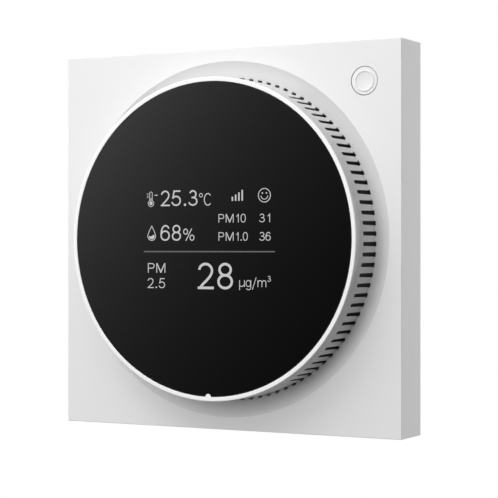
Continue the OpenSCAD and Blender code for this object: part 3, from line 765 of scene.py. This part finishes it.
# The foot and the top of each row of letters, and the width of the strokes, in mm
TEMPERATURE, DEGREES = (7.42, 10.92), (7.4, 10.2)
HUMIDITY, PERCENT = (-0.35, 3.2), (-0.36, 2.36)
UPPER_LIST, LOWER_LIST = (3.62, 5.5), (-0.38, 1.5)
UPPER_LABEL, LOWER_LABEL = (-7.56, -5.38), (-11.0, -8.76)
PARTICLES, UNIT, SLASH, CUBED = (-11.1, -5.24), (-10.5, -9.0), (-11.08, -8.38), (-9.32, -8.05)
FIGURE_STROKE, SIGN_STROKE, LIST_STROKE, LABEL_STROKE = 0.34, 0.22, 0.175, 0.2
PARTICLES_STROKE, UNIT_STROKE, SLASH_STROKE, CUBED_STROKE = 0.57, 0.165, 0.15, 0.13
# Both lists start with the same two letters and the same first figure
LIST_PM = [(2.66, 4.06), (4.5, 6.46)]
LIST_THREE = (12.88, 14.22)

plate(
    "readout_temperature",
    word("25", [(-12.25, -9.875), (-9.375, -7.0)], TEMPERATURE, FIGURE_STROKE)
    + word(".3", [(-6.2, -5.68), (-5.0, -2.7)], TEMPERATURE, FIGURE_STROKE)
    + ring(-1.825, 9.75, 0.39, 0.16)
    + word("C", [(-1.075, 0.95)], DEGREES, SIGN_STROKE),
    bright,
)
plate(
    "readout_humidity",
    word("68", [(-12.325, -9.9), (-9.35, -6.975)], HUMIDITY, FIGURE_STROKE)
    + word("%", [(-6.4, -3.5)], PERCENT, SIGN_STROKE),
    bright,
)
plate(
    "readout_pm10",
    word("PM10", LIST_PM + [(7.1, 7.74), (8.22, 9.5)], UPPER_LIST, LIST_STROKE)
    + word("31", [LIST_THREE, (14.86, 15.5)], UPPER_LIST, LIST_STROKE),
    bright,
)
plate(
    "readout_pm1",
    word("PM1.0", LIST_PM + [(7.06, 7.7), (8.22, 8.5), (8.78, 10.0)], LOWER_LIST, LIST_STROKE)
    + word("36", [LIST_THREE, (14.4, 15.66)], LOWER_LIST, LIST_STROKE),
    bright,
)
plate(
    "readout_pm25",
    word("PM", [(-15.66, -13.92), (-13.42, -11.08)], UPPER_LABEL, LABEL_STROKE)
    + word("2.5", [(-15.75, -14.12), (-13.6, -13.26), (-12.74, -11.14)], LOWER_LABEL, LABEL_STROKE),
    bright,
)
plate(
    "readout_particles",
    word("28", [(-2.64, 1.46), (2.36, 6.3)], PARTICLES, PARTICLES_STROKE)
    + word("ug", [(7.88, 9.26), (9.5, 10.84)], UNIT, UNIT_STROKE)
    + word("/", [(11.1, 12.14)], SLASH, SLASH_STROKE)
    + word("m", [(12.44, 14.58)], UNIT, UNIT_STROKE)
    + word("3", [(14.9, 15.7)], CUBED, CUBED_STROKE),
    bright,
)
plate("readout_signal", signal(), bright)
plate("readout_face", face(), bright)
plate("readout_divider", bar(-16.75, 16.675, -2.92, -2.64), dim)
plate("readout_thermometer", thermometer(), bright)
plate("readout_droplet", droplet(), bright)

# ---------------------------------------------------------------- floor

# The floor's radius, and how far it lies below the panel's middle, in metres
FLOOR_RADIUS, FLOOR_DROP = 1.15, 0.25

scene = bpy.context.scene
scene.view_settings.view_transform = "Standard"

bpy.ops.mesh.primitive_circle_add(
    vertices=96, radius=FLOOR_RADIUS, fill_type="NGON", location=(0, 0, -FLOOR_DROP)
)
floor = bpy.context.object
floor.name = "floor"
pale = Shader("floor_pale")
pale.set("Base Color", pale.blend(pale.noise(3.0, 4.0), (0.93, 0.93, 0.93), (0.96, 0.96, 0.96)))
pale.roughen(0.75, 0.85, 12.0, 3.0)
pale.set("Emission Color", (1.0, 1.0, 1.0))
pale.set("Emission Strength", 0.12)
floor.data.materials.append(pale.material)
floor.visible_diffuse = False

# ---------------------------------------------------------------- light

# Light that comes from each side of the studio
AMBIENT = {"+X": 0.09, "-X": 0.15, "+Y": 0.35, "-Y": 0.15, "+Z": 0.15, "-Z": 0.05}
# The window mirrors a softbox to the left: its brightness at an azimuth in degrees, and how much
# the logarithm of that grows for each degree to the left and up, with its limit
SOFTBOX, SOFTBOX_AZIMUTH = 0.25, 29.5
GROWTH_LEFT, GROWTH_UP, MOST_GROWTH = 0.2, 0.16, 1.6
# The even grey that is mirrored at the sides and behind, and where it fades out towards the front
BACK_GREY, FADE_START, FADE_END = 0.7, 0.2, 0.7


def ambient(sky, direction):
    """Light from all round, which blends smoothly from one side of the studio to the next."""
    sides = []
    for axis, value in zip("XYZ", direction):
        for sign, factor in (("+", 1.0), ("-", -1.0)):
            side = sky.math("MAXIMUM", sky.math("MULTIPLY", value, factor), 0.0)
            squared = sky.math("MULTIPLY", side, side)
            sides.append(sky.math("MULTIPLY", squared, AMBIENT[sign + axis]))
    total = sides[0]
    for side in sides[1:]:
        total = sky.math("ADD", total, side)
    return total


def mirrored(sky, direction):
    """What glossy surfaces mirror: the softbox to the left, and an even grey behind."""
    across, deep, up = direction
    to_left = sky.math("MULTIPLY", across, -1.0)
    to_front = sky.math("MULTIPLY", deep, -1.0)
    azimuth = sky.math("DEGREES", sky.math("ARCTAN2", to_left, to_front))
    elevation = sky.math("DEGREES", sky.math("ARCSINE", up))
    leftward = sky.math("MULTIPLY", sky.math("SUBTRACT", azimuth, SOFTBOX_AZIMUTH), GROWTH_LEFT)
    upward = sky.math("MULTIPLY", elevation, GROWTH_UP)
    growth = sky.math("MINIMUM", sky.math("ADD", leftward, upward), MOST_GROWTH)
    softbox = sky.math("MULTIPLY", sky.math("EXPONENT", growth), SOFTBOX)
    grey = sky.spread(to_front, BACK_GREY, 0.0, FADE_START, FADE_END)
    return sky.math("ADD", softbox, grey)


world = bpy.data.worlds.new("studio")
scene.world = world
world.use_nodes = True
sky = Nodes(world.node_tree)
direction = sky.split(sky.add("ShaderNodeTexCoord").outputs["Generated"])
ray = sky.add("ShaderNodeLightPath").outputs
# The camera sees white, glossy surfaces see the softbox, and the rest is lit by the ambient light
lighting = sky.choose(ray["Is Glossy Ray"], ambient(sky, direction), mirrored(sky, direction))
background = world.node_tree.nodes["Background"].inputs
sky.put(background["Color"], (1.0, 1.0, 1.0))
sky.put(background["Strength"], sky.choose(ray["Is Camera Ray"], lighting, 1.0))

# Square softboxes that face the object: place and side in metres, and power in watts
SOFTBOXES = {
    "key": ((-0.16, -0.30, 0.42), 0.3, 1.1),
    "fill_front": ((-0.05, -0.60, 0.10), 0.35, 1.92),
    "fill_left": ((-0.35, -0.15, 0.35), 0.3, 0.5),
    "fill_top": ((-0.05, -0.45, 0.35), 0.35, 0.40),
    "fill_right": ((0.20, -0.25, 0.40), 0.3, 0.52),
    "rim_right": ((0.38, 0.46, 0.05), 0.3, 2.6),
    "rim_left": ((-0.36, 0.46, 0.28), 0.3, 1.8),
}

for name, (place, side, power) in SOFTBOXES.items():
    light = bpy.data.lights.new(name, "AREA")
    light.shape = "SQUARE"
    light.size = side
    light.energy = power
    lamp = bpy.data.objects.new(name, light)
    lamp.location = place
    lamp.rotation_euler = (-Vector(place)).to_track_quat("-Z", "Y").to_euler()
    lamp.visible_glossy = False
    scene.collection.objects.link(lamp)

# ---------------------------------------------------------------- camera

# It stands in front of the panel, to the right and level with it: place in metres, turn in degrees
CAMERA_PLACE, CAMERA_TURN = (0.1849, -0.3410, -0.0022), 28.43
# Width of the sensor, and focal length, in mm
CAMERA_SENSOR, CAMERA_FOCUS = 36.0, 121.27

optics = bpy.data.cameras.new("camera")
optics.sensor_width = CAMERA_SENSOR
optics.lens = CAMERA_FOCUS
camera = bpy.data.objects.new("camera", optics)
camera.location = CAMERA_PLACE
camera.rotation_euler = (math.radians(90), 0, math.radians(CAMERA_TURN))
scene.collection.objects.link(camera)
scene.camera = camera
